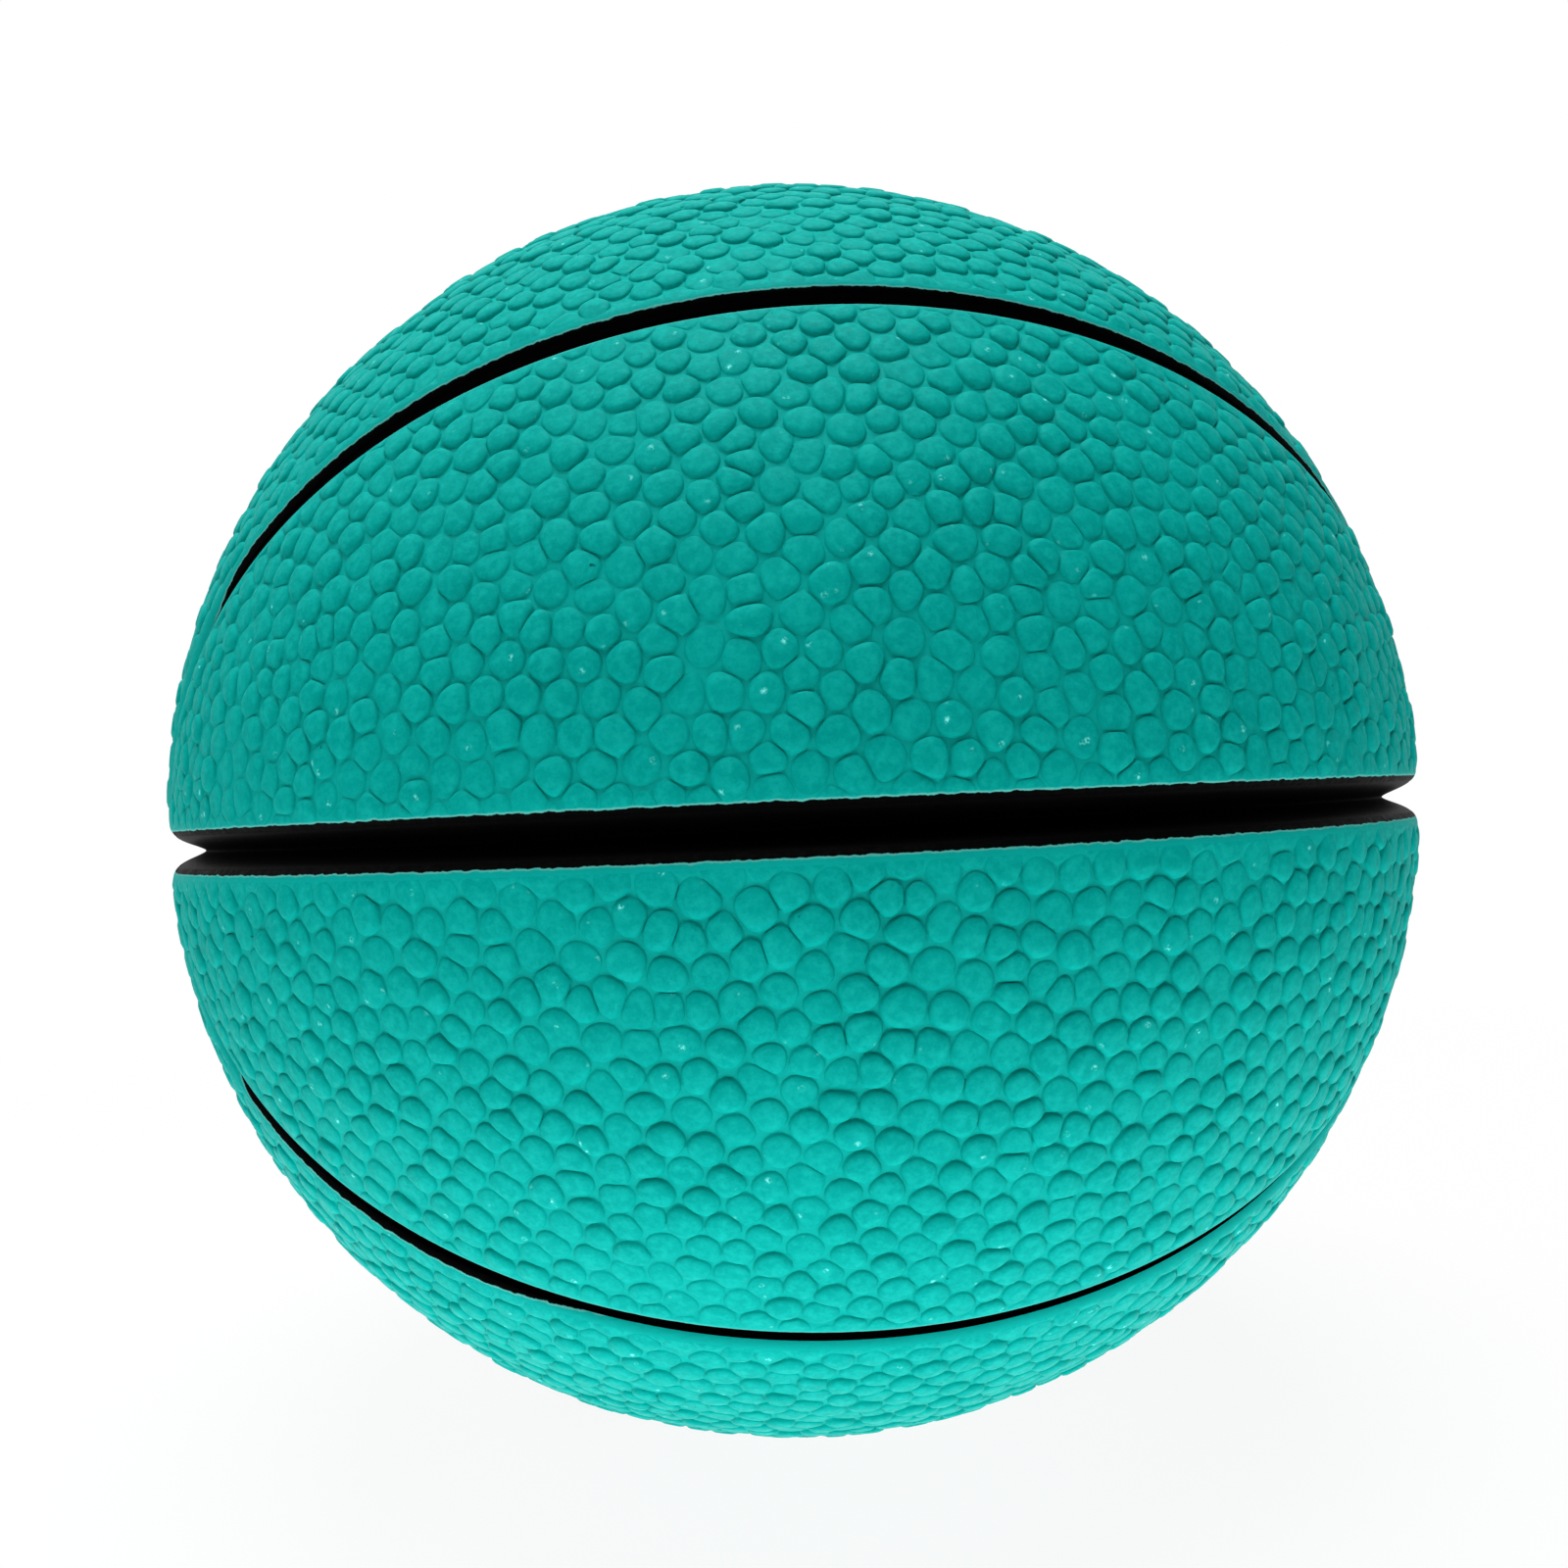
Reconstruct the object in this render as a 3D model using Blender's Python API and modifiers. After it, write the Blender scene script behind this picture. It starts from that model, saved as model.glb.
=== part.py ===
"""A mini rubber basketball: eight cover panels parted by channels, each channel lined with a black strip,
over a carcass, a wound yarn layer and an air bladder, with a self-sealing valve.

Metres, +Z up, origin at the ball's centre. The equator channel lies in the XY plane and the meridian
channel in the XZ plane. Two looped channels go round the front (-Y) and the rear (+Y) of the ball."""

import math

import bmesh
import bpy
import numpy as np
from mathutils import Matrix, Vector
from mathutils.geometry import delaunay_2d_cdt

# Cover and channels
BALL_DIAMETER = 0.1270
CHANNEL_WIDTH = 0.0037
CHANNEL_DEPTH = 0.0032
CHANNEL_FLOOR_WIDTH = 0.0008
LIP_RADIUS = 0.0012
LIP_ROLL = math.radians(60.0)
LIP_LAND = 0.00025
PANEL_CORNER_RADIUS = 0.0012
STRIP_WALL = 0.00045
STRIP_FLOOR = 0.0005

# Half angles of a looped channel, seen from the ball's centre: along the equator, and up or down
LOOP_LONG_ANGLE = math.radians(72.0)
LOOP_SHORT_ANGLE = math.radians(39.2)

# Layers under the cover
CARCASS_WALL = 0.0010
WINDING_WALL = 0.0005
BLADDER_WALL = 0.0008

# Valve, measured along and across its own axis
VALVE_STEM_DIAMETER = 0.0100
VALVE_RECESS = 0.0006
VALVE_EDGE_CHAMFER = 0.0003
VALVE_TUBE_DIAMETER = 0.0080
VALVE_LENGTH = 0.0170
VALVE_FLANGE_DIAMETER = 0.0220
VALVE_FLANGE_THICKNESS = 0.0013
CORE_DIAMETER = 0.0046
CORE_LENGTH = 0.0145
CORE_HEAD_DIAMETER = 0.0064
CORE_HEAD_THICKNESS = 0.0012
CORE_TIP_CHAMFER = 0.0006
CORE_RECESS = 0.0003
NEEDLE_HOLE_DIAMETER = 0.0018
NEEDLE_HOLE_DEPTH = 0.0080
NEEDLE_FUNNEL_DIAMETER = 0.0032
NEEDLE_FUNNEL_DEPTH = 0.0008

# Gap between pieces
CLEARANCE = 0.0003

# Fineness of the facets. A flat facet on the cover's underside dips towards the carcass between its corners,
# which lie at most FACET_REACH facets from its middle.
FACET = 0.0100
FACET_TURN = math.radians(18.0)
LIP_FACETS = 3
TURNED_FACETS = 24
FACET_REACH = 0.66
LATTICE_MARGIN = 0.4
SEAM_SAMPLES = 720
BORDER_RAYS = 2880
BORDER_REACH = math.radians(120.0)
BISECTIONS = 40
SHARP_ANGLE = math.radians(35.0)
MERGE_DISTANCE = 0.00001
FLAT_MERGE_DISTANCE = 1e-9

# Radii and half widths that follow from the sizes above
BALL_RADIUS = BALL_DIAMETER / 2
CHANNEL_HALF = CHANNEL_WIDTH / 2
STRIP_HALF = CHANNEL_HALF + STRIP_WALL
PANEL_SIDE = STRIP_HALF + CLEARANCE
LIP_RIM = CHANNEL_HALF + LIP_RADIUS * math.sin(LIP_ROLL)
LIP_END_RADIUS = BALL_RADIUS - LIP_RADIUS * (1 - math.cos(LIP_ROLL)) - LIP_LAND
STRIP_TOP_RADIUS = LIP_END_RADIUS - CLEARANCE
CHANNEL_FLOOR_HALF = CHANNEL_FLOOR_WIDTH / 2
CHANNEL_FLOOR_RADIUS = BALL_RADIUS - CHANNEL_DEPTH
COVER_INNER_RADIUS = CHANNEL_FLOOR_RADIUS - STRIP_FLOOR
FACET_DIP = (FACET_REACH * FACET) ** 2 / BALL_DIAMETER
CARCASS_RADIUS = COVER_INNER_RADIUS - FACET_DIP - CLEARANCE
WINDING_RADIUS = CARCASS_RADIUS - CARCASS_WALL - CLEARANCE
BLADDER_RADIUS = WINDING_RADIUS - WINDING_WALL - CLEARANCE
BLADDER_INNER_RADIUS = BLADDER_RADIUS - BLADDER_WALL
CORNER_CENTRE = (LIP_RIM + PANEL_CORNER_RADIUS) / BALL_RADIUS

VALVE_HOLE_RADIUS = VALVE_STEM_DIAMETER / 2 + CLEARANCE
VALVE_TOP = BALL_RADIUS - VALVE_RECESS
VALVE_ELEVATION = (LOOP_SHORT_ANGLE + math.pi / 2) / 2

# Each material's linear red, green and blue, and its roughness
FINISHES = {
    "cover_rubber": ((0.004, 0.36, 0.31), 0.45),
    "channel_rubber": ((0.008, 0.008, 0.008), 0.35),
    "carcass_rubber": ((0.03, 0.03, 0.032), 0.6),
    "winding_yarn": ((0.62, 0.6, 0.54), 0.8),
    "bladder_butyl": ((0.02, 0.02, 0.022), 0.5),
    "valve_rubber": ((0.008, 0.008, 0.008), 0.4),
    "core_rubber": ((0.03, 0.03, 0.032), 0.4),
}

FRONT_REAR = {"front": -1, "rear": 1}
UPPER_LOWER = {"upper": 1, "lower": -1}


def clear_scene():
    for thing in list(bpy.data.objects):
        bpy.data.objects.remove(thing, do_unlink=True)


def new_collection(name):
    collection = bpy.data.collections.new(name)
    bpy.context.scene.collection.children.link(collection)
    return collection


def new_material(name):
    colour, roughness = FINISHES[name]
    material = bpy.data.materials.new(name)
    material.use_nodes = True
    shader = material.node_tree.nodes["Principled BSDF"]
    shader.inputs["Base Color"].default_value = (*colour, 1.0)
    shader.inputs["Roughness"].default_value = roughness
    shader.inputs["Metallic"].default_value = 0.0
    return material


def new_object(name, points, edges, faces, collection, parent, material=None):
    mesh = bpy.data.meshes.new(name)
    mesh.from_pydata([tuple(map(float, point)) for point in points], edges, faces)
    shape = bmesh.new()
    shape.from_mesh(mesh)
    bmesh.ops.recalc_face_normals(shape, faces=shape.faces)
    shape.to_mesh(mesh)
    shape.free()
    mesh.shade_smooth()
    mesh.set_sharp_from_angle(angle=SHARP_ANGLE)
    if material:
        mesh.materials.append(material)
    thing = bpy.data.objects.new(name, mesh)
    thing.parent = parent
    collection.objects.link(thing)
    return thing


def new_empty(name, collection, parent=None, matrix=None):
    empty = bpy.data.objects.new(name, None)
    empty.empty_display_size = BALL_RADIUS / 4
    empty.parent = parent
    if matrix:
        empty.matrix_world = matrix
    collection.objects.link(empty)
    return empty


def make_cutter(thing):
    thing.hide_render = True
    thing.display_type = "WIRE"


def cut(thing, cutter):
    modifier = thing.modifiers.new(f"cut_{cutter.name}", "BOOLEAN")
    modifier.operation = "DIFFERENCE"
    modifier.solver = "EXACT"
    modifier.object = cutter


def unit(vectors):
    return vectors / np.linalg.norm(vectors, axis=-1, keepdims=True)


# Centre lines of the channels, as unit vectors from the ball's centre


def equator(turn):
    return np.stack([np.cos(turn), np.sin(turn), np.zeros_like(turn)], axis=-1)


def meridian(turn):
    return np.stack([np.cos(turn), np.zeros_like(turn), np.sin(turn)], axis=-1)


def loop_angle(turn):
    """Angle between the rear pole and the loop, at a turn about that pole from the equator."""
    return 1 / np.hypot(np.cos(turn) / LOOP_LONG_ANGLE, np.sin(turn) / LOOP_SHORT_ANGLE)


def rear_loop(turn):
    angle = loop_angle(turn)
    return np.stack([np.sin(angle) * np.cos(turn), np.cos(angle), np.sin(angle) * np.sin(turn)], axis=-1)


def whole_turn(count):
    return np.linspace(0.0, 2 * math.pi, count, endpoint=False)


def sine_distance(points, seam):
    """Sine of the angle between each point and the nearest stretch of a seam."""
    line = seam(whole_turn(SEAM_SAMPLES))
    normals = unit(np.cross(np.roll(line, 1, axis=0), np.roll(line, -1, axis=0)))
    nearest = np.argmax(points @ line.T, axis=1)
    return np.abs(np.sum(points * normals[nearest], axis=1))


def spread_evenly(curve, closed):
    """Points along a dense curve on the unit sphere, a facet apart, and closer where it turns sideways."""
    if closed:
        curve = np.concatenate([curve, curve[:1]])
    steps = np.diff(curve, axis=0)
    headings = unit(steps)
    sideways = np.sum(np.cross(headings[:-1], headings[1:]) * curve[1:-1], axis=1)
    measure = np.linalg.norm(steps, axis=1) * BALL_RADIUS / FACET
    measure[1:] += np.abs(np.arcsin(np.clip(sideways, -1, 1))) / FACET_TURN
    along = np.concatenate([[0.0], np.cumsum(measure)])
    count = math.ceil(along[-1])
    marks = np.linspace(0.0, along[-1], count + 1)[: count if closed else None]
    return unit(np.stack([np.interp(marks, along, curve[:, axis]) for axis in range(3)], axis=-1))


# Cover panels, worked out for the rear upper quarter of the ball and mirrored to the others


def in_panel(points, inner):
    polar = np.arccos(np.clip(points[:, 1], -1, 1))
    within_loop = polar < loop_angle(np.arctan2(points[:, 2], points[:, 0]))
    return (points[:, 1] > 0) & (points[:, 2] > 0) & (within_loop == inner)


def seam_distances(points, inner):
    seams = [equator, rear_loop] if inner else [equator, rear_loop, meridian]
    return np.stack([sine_distance(points, seam) for seam in seams])


def panel_field(points, inner):
    """Sine distance to the panel's edge, rounded off where two channels meet and negative outside."""
    shortfall = np.clip(CORNER_CENTRE - seam_distances(points, inner), 0, None)
    field = CORNER_CENTRE - np.linalg.norm(shortfall, axis=0)
    return np.where(in_panel(points, inner), field, -1.0)


def panel_axes(inner):
    elevation = LOOP_SHORT_ANGLE / 2 if inner else VALVE_ELEVATION
    centre = np.array([0.0, math.cos(elevation), math.sin(elevation)])
    east = np.array([1.0, 0.0, 0.0])
    return centre, east, np.cross(centre, east)


def trace_border(inner, level):
    """The closed curve inside a panel at one distance from its edge, found along rays from its middle."""
    centre, east, north = panel_axes(inner)
    turns = whole_turn(BORDER_RAYS)
    ways = np.outer(np.cos(turns), east) + np.outer(np.sin(turns), north)
    near = np.zeros(BORDER_RAYS)
    far = np.full(BORDER_RAYS, BORDER_REACH)
    for _ in range(BISECTIONS):
        middle = (near + far) / 2
        points = np.outer(np.cos(middle), centre) + np.sin(middle)[:, None] * ways
        inside = panel_field(points, inner) > level
        near = np.where(inside, middle, near)
        far = np.where(inside, far, middle)
    return points


def slope(points, inner):
    """Unit direction, along the sphere, in which the panel's edge comes nearer fastest."""
    small = CORNER_CENTRE / 100
    side = unit(np.cross(points, [1.0, 0.0, 0.0]))
    along = np.cross(points, side)
    rise = np.zeros_like(points)
    for way in (side, along):
        ahead = panel_field(unit(points + small * way), inner)
        behind = panel_field(unit(points - small * way), inner)
        rise += (ahead - behind)[:, None] * way
    return -unit(rise)


def shift_to(points, ways, inner, level):
    """Each point moved along its way until it lies at the given distance from the panel's edge."""
    moved = points
    for _ in range(BISECTIONS):
        moved = unit(moved + (panel_field(moved, inner) - level)[:, None] * ways)
    return moved


def panel_lattice(inner, level):
    """Evenly scattered points inside a panel, clear of its border."""
    count = round(4 * math.pi * BALL_RADIUS**2 / (FACET**2 * math.sqrt(3) / 2))
    index = np.arange(count) + 0.5
    height = 1 - 2 * index / count
    width = np.sqrt(1 - height**2)
    turn = index * math.pi * (3 - math.sqrt(5))
    points = np.stack([width * np.cos(turn), width * np.sin(turn), height], axis=-1)
    margin = level + LATTICE_MARGIN * FACET / BALL_RADIUS
    clear = np.min(seam_distances(points, inner), axis=0) > margin
    return points[in_panel(points, inner) & clear]


def fill_border(border, lattice, inner):
    """Triangles over a border and the lattice points inside it, as indices into the two joined.

    They are chosen in a stereographic view, which keeps circles round, so the triangles stay even."""
    centre, east, north = panel_axes(inner)
    points = np.concatenate([border, lattice])
    depth = 1 + points @ centre
    flat = [Vector((x, y)) for x, y in zip(points @ east / depth, points @ north / depth)]
    count = len(border)
    ring = [(i, (i + 1) % count) for i in range(count)]
    return [tuple(face) for face in delaunay_2d_cdt(flat, ring, [], 1, FLAT_MERGE_DISTANCE)[2]]


def panel_section():
    """Distance from the channel's middle and radius of each row round a panel's edge, from the top down."""
    rows = []
    for step in range(LIP_FACETS + 1):
        roll = LIP_ROLL * step / LIP_FACETS
        rows.append((LIP_RIM - LIP_RADIUS * math.sin(roll), BALL_RADIUS - LIP_RADIUS * (1 - math.cos(roll))))
    rows.append((CHANNEL_HALF, LIP_END_RADIUS))
    rows.append((PANEL_SIDE, LIP_END_RADIUS))
    rows.append((PANEL_SIDE, COVER_INNER_RADIUS))
    return rows


def panel_shape(inner):
    """Points and faces of a rear upper panel: its face, the lip and side of its edge, and its underside."""
    section = panel_section()
    levels = [distance / radius for distance, radius in section]
    border = spread_evenly(trace_border(inner, levels[0]), closed=True)
    ways = slope(border, inner)
    rows = [shift_to(border, ways, inner, level) for level in levels]
    lattice = panel_lattice(inner, levels[0])
    cap = fill_border(border, lattice, inner)
    count = len(border)

    points = np.concatenate(
        [row * radius for row, (_, radius) in zip(rows, section)]
        + [lattice * BALL_RADIUS, lattice * COVER_INNER_RADIUS]
    )
    last_row = count * (len(rows) - 1)
    top_lattice = count * len(rows)
    under_lattice = top_lattice + len(lattice)
    faces = [tuple(i if i < count else i - count + top_lattice for i in face) for face in cap]
    faces += [
        tuple(i + last_row if i < count else i - count + under_lattice for i in reversed(face))
        for face in cap
    ]
    for row in range(len(rows) - 1):
        upper = row * count
        lower = upper + count
        for i in range(count):
            j = (i + 1) % count
            faces.append((upper + j, upper + i, lower + i, lower + j))
    return points, faces


def mirrored(points, side, level):
    return points * np.array([1.0, side, level])


# Channel strips


def strip_section():
    """A channel strip cut across, a V with a narrow floor: distance from its middle, and radius."""
    return [
        (-STRIP_HALF, STRIP_TOP_RADIUS),
        (-STRIP_HALF, COVER_INNER_RADIUS),
        (STRIP_HALF, COVER_INNER_RADIUS),
        (STRIP_HALF, STRIP_TOP_RADIUS),
        (CHANNEL_HALF, STRIP_TOP_RADIUS),
        (CHANNEL_FLOOR_HALF, CHANNEL_FLOOR_RADIUS),
        (-CHANNEL_FLOOR_HALF, CHANNEL_FLOOR_RADIUS),
        (-CHANNEL_HALF, STRIP_TOP_RADIUS),
    ]


def channel_section():
    """The open space of a channel, from just over its floor to well above the cover."""
    floor = CHANNEL_FLOOR_RADIUS + CLEARANCE
    top = BALL_RADIUS + CHANNEL_DEPTH
    return [
        (-CHANNEL_HALF, top),
        (-CHANNEL_HALF, STRIP_TOP_RADIUS),
        (-CHANNEL_FLOOR_HALF, floor),
        (CHANNEL_FLOOR_HALF, floor),
        (CHANNEL_HALF, STRIP_TOP_RADIUS),
        (CHANNEL_HALF, top),
    ]


def swept_rings(line, section, closed):
    """The section carried along a line of unit vectors, square to it: one ring of points a station."""
    if closed:
        heading = np.roll(line, -1, axis=0) - np.roll(line, 1, axis=0)
    else:
        heading = np.gradient(line, axis=0)
    across = unit(np.cross(line, heading))
    rings = [line * math.sqrt(r**2 - d**2) + across * d for d, r in section]
    return np.stack(rings, axis=1)


def ring_faces(stations, corners, closed):
    faces = []
    for i in range(stations if closed else stations - 1):
        here = i * corners
        after = (i + 1) % stations * corners
        for j in range(corners):
            k = (j + 1) % corners
            faces.append((here + j, here + k, after + k, after + j))
    if not closed:
        faces.append(tuple(range(corners)))
        faces.append(tuple(reversed(range((stations - 1) * corners, stations * corners))))
    return faces


def closed_sweep(seam, section):
    line = spread_evenly(seam(whole_turn(SEAM_SAMPLES)), closed=True)
    rings = swept_rings(line, section, closed=True)
    return rings.reshape(-1, 3), ring_faces(len(line), len(section), closed=True)


def half_strip(seam):
    """The strip of a seam's upper half, its ends cut square where they butt against the equator strip."""
    turns = np.linspace(0.0, math.pi, SEAM_SAMPLES)
    heights = seam(turns)[:, 2]
    rising = slice(0, SEAM_SAMPLES // 2)
    start = np.interp(PANEL_SIDE / COVER_INNER_RADIUS, heights[rising], turns[rising])
    line = spread_evenly(seam(np.linspace(start, math.pi - start, SEAM_SAMPLES)), closed=False)
    rings = swept_rings(line, strip_section(), closed=False)
    rings[[0, -1], :, 2] = PANEL_SIDE
    return rings.reshape(-1, 3), ring_faces(len(line), len(strip_section()), closed=False)


# Turned pieces: layers and valve, about the valve's axis


def turned(name, profile, closed, collection, parent, material):
    """A profile of (distance from the axis, height) points, running down its outer side, turned about Z."""
    count = len(profile)
    edges = [(i, (i + 1) % count) for i in range(count if closed else count - 1)]
    points = [(across, 0.0, along) for across, along in profile]
    thing = new_object(name, points, edges, [], collection, parent, material)
    screw = thing.modifiers.new("turn", "SCREW")
    screw.axis = "Z"
    screw.angle = 2 * math.pi
    screw.steps = TURNED_FACETS
    screw.render_steps = TURNED_FACETS
    screw.use_merge_vertices = True
    screw.merge_threshold = MERGE_DISTANCE
    screw.use_smooth_shade = True
    return thing


def arc_to_pole(radius):
    """A layer's surface from the valve hole round to the pole opposite it."""
    rings = TURNED_FACETS // 2
    first = math.asin(VALVE_HOLE_RADIUS / radius)
    angles = [first] + [math.pi * ring / rings for ring in range(1, rings)]
    arc = [(radius * math.sin(angle), radius * math.cos(angle)) for angle in angles]
    return arc + [(0.0, -radius)]


def layer_profile(radius, wall):
    return list(reversed(arc_to_pole(radius - wall))) + arc_to_pole(radius)


def housing_profile():
    """Valve housing: a stem up to the cover, a flange under the bladder's wall and a tube inwards."""
    stem = VALVE_STEM_DIAMETER / 2
    tube = VALVE_TUBE_DIAMETER / 2
    flange = VALVE_FLANGE_DIAMETER / 2
    bore = CORE_DIAMETER / 2 + CLEARANCE
    seat = CORE_HEAD_DIAMETER / 2 + CLEARANCE
    shoulder = VALVE_TOP - CORE_RECESS - CORE_HEAD_THICKNESS - CLEARANCE
    seat_radius = BLADDER_INNER_RADIUS - 2 * CLEARANCE
    under_radius = seat_radius - VALVE_FLANGE_THICKNESS
    bottom = VALVE_TOP - VALVE_LENGTH
    return [
        (seat, VALVE_TOP),
        (stem - VALVE_EDGE_CHAMFER, VALVE_TOP),
        (stem, VALVE_TOP - VALVE_EDGE_CHAMFER),
        (stem, math.sqrt(seat_radius**2 - stem**2)),
        (flange, math.sqrt(seat_radius**2 - flange**2)),
        (flange, math.sqrt(under_radius**2 - flange**2) + VALVE_FLANGE_THICKNESS / 2),
        (tube, math.sqrt(under_radius**2 - tube**2)),
        (tube, bottom),
        (bore, bottom),
        (bore, shoulder),
        (seat, shoulder),
    ]


def core_profile():
    """Valve core, from its seat at zero height: a head with a needle hole over a plain plug."""
    head = CORE_HEAD_DIAMETER / 2
    body = CORE_DIAMETER / 2
    hole = NEEDLE_HOLE_DIAMETER / 2
    top = CORE_HEAD_THICKNESS
    tip = top - CORE_LENGTH
    return [
        (0.0, top - NEEDLE_HOLE_DEPTH),
        (hole, top - NEEDLE_HOLE_DEPTH + hole),
        (hole, top - NEEDLE_FUNNEL_DEPTH),
        (NEEDLE_FUNNEL_DIAMETER / 2, top),
        (head, top),
        (head, 0.0),
        (body, 0.0),
        (body, tip + CORE_TIP_CHAMFER),
        (body - CORE_TIP_CHAMFER, tip),
        (0.0, tip),
    ]


def build_panels(ball, root, hole_cutter):
    teal = new_material("cover_rubber")
    shapes = {"eye_panel": panel_shape(True), "shoulder_panel": panel_shape(False)}
    panels = {}
    for kind, (points, faces) in shapes.items():
        for side_name, side in FRONT_REAR.items():
            for level_name, level in UPPER_LOWER.items():
                name = f"{kind}_{side_name}_{level_name}"
                panels[name] = new_object(name, mirrored(points, side, level), [], faces, ball, root, teal)
    cut(panels["shoulder_panel_rear_upper"], hole_cutter)


def build_strips(ball, cutters, root):
    black = new_material("channel_rubber")
    points, faces = closed_sweep(equator, strip_section())
    ring = new_object("seam_strip_equator", points, [], faces, ball, root, black)

    points, faces = half_strip(meridian)
    for level_name, level in UPPER_LOWER.items():
        name = f"seam_strip_meridian_{level_name}"
        new_object(name, mirrored(points, 1, level), [], faces, ball, root, black)
    points, faces = half_strip(rear_loop)
    for side_name, side in FRONT_REAR.items():
        for level_name, level in UPPER_LOWER.items():
            name = f"seam_strip_{side_name}_{level_name}"
            new_object(name, mirrored(points, side, level), [], faces, ball, root, black)

    # Each crossing channel is open through the equator strip's walls
    for name, seam, side in (("meridian", meridian, 1), ("front", rear_loop, -1), ("rear", rear_loop, 1)):
        points, faces = closed_sweep(seam, channel_section())
        cutter = new_object(f"{name}_channel", mirrored(points, side, 1), [], faces, cutters, root)
        make_cutter(cutter)
        cut(ring, cutter)


def build_layers(ball, axis):
    for name, radius, wall, finish in (
        ("carcass", CARCASS_RADIUS, CARCASS_WALL, "carcass_rubber"),
        ("winding", WINDING_RADIUS, WINDING_WALL, "winding_yarn"),
        ("bladder", BLADDER_RADIUS, BLADDER_WALL, "bladder_butyl"),
    ):
        turned(name, layer_profile(radius, wall), True, ball, axis, new_material(finish))


def build_valve(ball, axis):
    turned("valve_housing", housing_profile(), True, ball, axis, new_material("valve_rubber"))
    core = turned("valve_core", core_profile(), False, ball, axis, new_material("core_rubber"))
    core.location = (0.0, 0.0, VALVE_TOP - CORE_RECESS - CORE_HEAD_THICKNESS)


def valve_hole_cutter(cutters, axis):
    bpy.ops.mesh.primitive_cylinder_add(
        vertices=TURNED_FACETS, radius=VALVE_HOLE_RADIUS, depth=BALL_RADIUS, location=(0.0, 0.0, BALL_RADIUS)
    )
    cutter = bpy.context.object
    cutter.name = "valve_hole"
    for collection in list(cutter.users_collection):
        collection.objects.unlink(cutter)
    cutters.objects.link(cutter)
    cutter.parent = axis
    make_cutter(cutter)
    return cutter


def main():
    clear_scene()
    ball = new_collection("mini_basketball")
    cutters = new_collection("cutters")
    root = new_empty("ball_centre", ball)
    tilt = Matrix.Rotation(VALVE_ELEVATION - math.pi / 2, 4, "X")
    axis = new_empty("valve_axis", ball, root, tilt)
    build_panels(ball, root, valve_hole_cutter(cutters, axis))
    build_strips(ball, cutters, root)
    build_layers(ball, axis)
    build_valve(ball, axis)


main()
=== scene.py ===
"""Looks of a mini rubber basketball: pebbled teal panels, black channels, the valve and the layers inside.

Metres, +Z up, origin at the ball's centre. The ball's radius, the inside of its cover, the width of the
channels' linings and the valve repeat the solids' sizes, so each piece made here lies where the solid that it
stands for is."""

import math
from collections import namedtuple

import bpy
import numpy as np
from mathutils import Matrix, Quaternion, Vector
from mathutils.geometry import delaunay_2d_cdt


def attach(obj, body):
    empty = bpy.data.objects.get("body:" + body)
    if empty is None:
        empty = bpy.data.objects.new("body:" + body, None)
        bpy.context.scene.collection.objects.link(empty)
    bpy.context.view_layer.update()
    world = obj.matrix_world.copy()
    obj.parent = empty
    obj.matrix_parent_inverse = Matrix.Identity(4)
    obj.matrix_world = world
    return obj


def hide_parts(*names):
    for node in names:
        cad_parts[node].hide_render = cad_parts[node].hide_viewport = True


MM = 0.001

# Cover and channels, as in the solids
BALL_RADIUS = 63.5 * MM
STRIP_HALF = 2.3 * MM
COVER_INNER_RADIUS = 59.8 * MM
LOOP_LONG_ANGLE = math.radians(72.0)

# Angle to the middles of the looped channels, which lie slightly farther in than in the solids
LOOP_SHORT_ANGLE = math.radians(38.6)

# Channels: a bell-shaped groove, its upper walls being the panels' lips and the rest the lining
GROOVE_DEPTH = 3.1 * MM
GROOVE_SPREAD = 1.02 * MM
GROOVE_POWER = 1.6
LIP_TIP = 1.4 * MM
STRIP_GAP = 0.02 * MM
SIDE_GAP = 0.08 * MM
CORNER_REACH = 5.0 * MM

# For each kind of panel: how far its lip reaches over the looped channel, which is narrow below the equator;
# how far the lip's black paint stops short, or goes on where that is below 0; and where the pebbles start,
# from the channel's middle. An outer panel's paint stops short only off its painted stretch.
LIPS = {
    "eye_upper": (0.5 * MM, 0.0, 2.0 * MM),
    "eye_lower": (1.05 * MM, -0.1 * MM, 2.4 * MM),
    "shoulder_upper": (0.8 * MM, 0.7 * MM, 2.3 * MM),
    "shoulder_lower": (0.4 * MM, 0.8 * MM, 2.1 * MM),
}

# Painted stretch of the outer lips by level, along X: where the paint starts, is full, thins out and ends
PAINTED_STRETCH = {1: (-0.86, -0.79, 1.0, 1.1), -1: (-0.865, -0.83, -0.5, -0.3)}

# Valve, as in the solids, along and across its own axis
VALVE_PANEL = "shoulder_rear_upper"
VALVE_ELEVATION = math.radians(64.6)
VALVE_TOP = BALL_RADIUS - 0.6 * MM
VALVE_STEM_RADIUS = 5.0 * MM
VALVE_TUBE_RADIUS = 4.0 * MM
VALVE_LENGTH = 17.0 * MM
VALVE_FLANGE_RADIUS = 11.0 * MM
VALVE_FLANGE_TOP = 54.6 * MM
VALVE_FLANGE_THICKNESS = 1.3 * MM
VALVE_SEAT_RADIUS = 3.5 * MM
VALVE_SEAT_DEPTH = 1.8 * MM
VALVE_BORE_RADIUS = 2.6 * MM
CORE_RADIUS = 2.3 * MM
CORE_HEAD_RADIUS = 3.2 * MM
CORE_HEAD_THICKNESS = 1.2 * MM
CORE_RECESS = 0.3 * MM
CORE_LENGTH = 14.5 * MM
NEEDLE_HOLE_RADIUS = 0.9 * MM
NEEDLE_HOLE_DEPTH = 8.0 * MM
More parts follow.
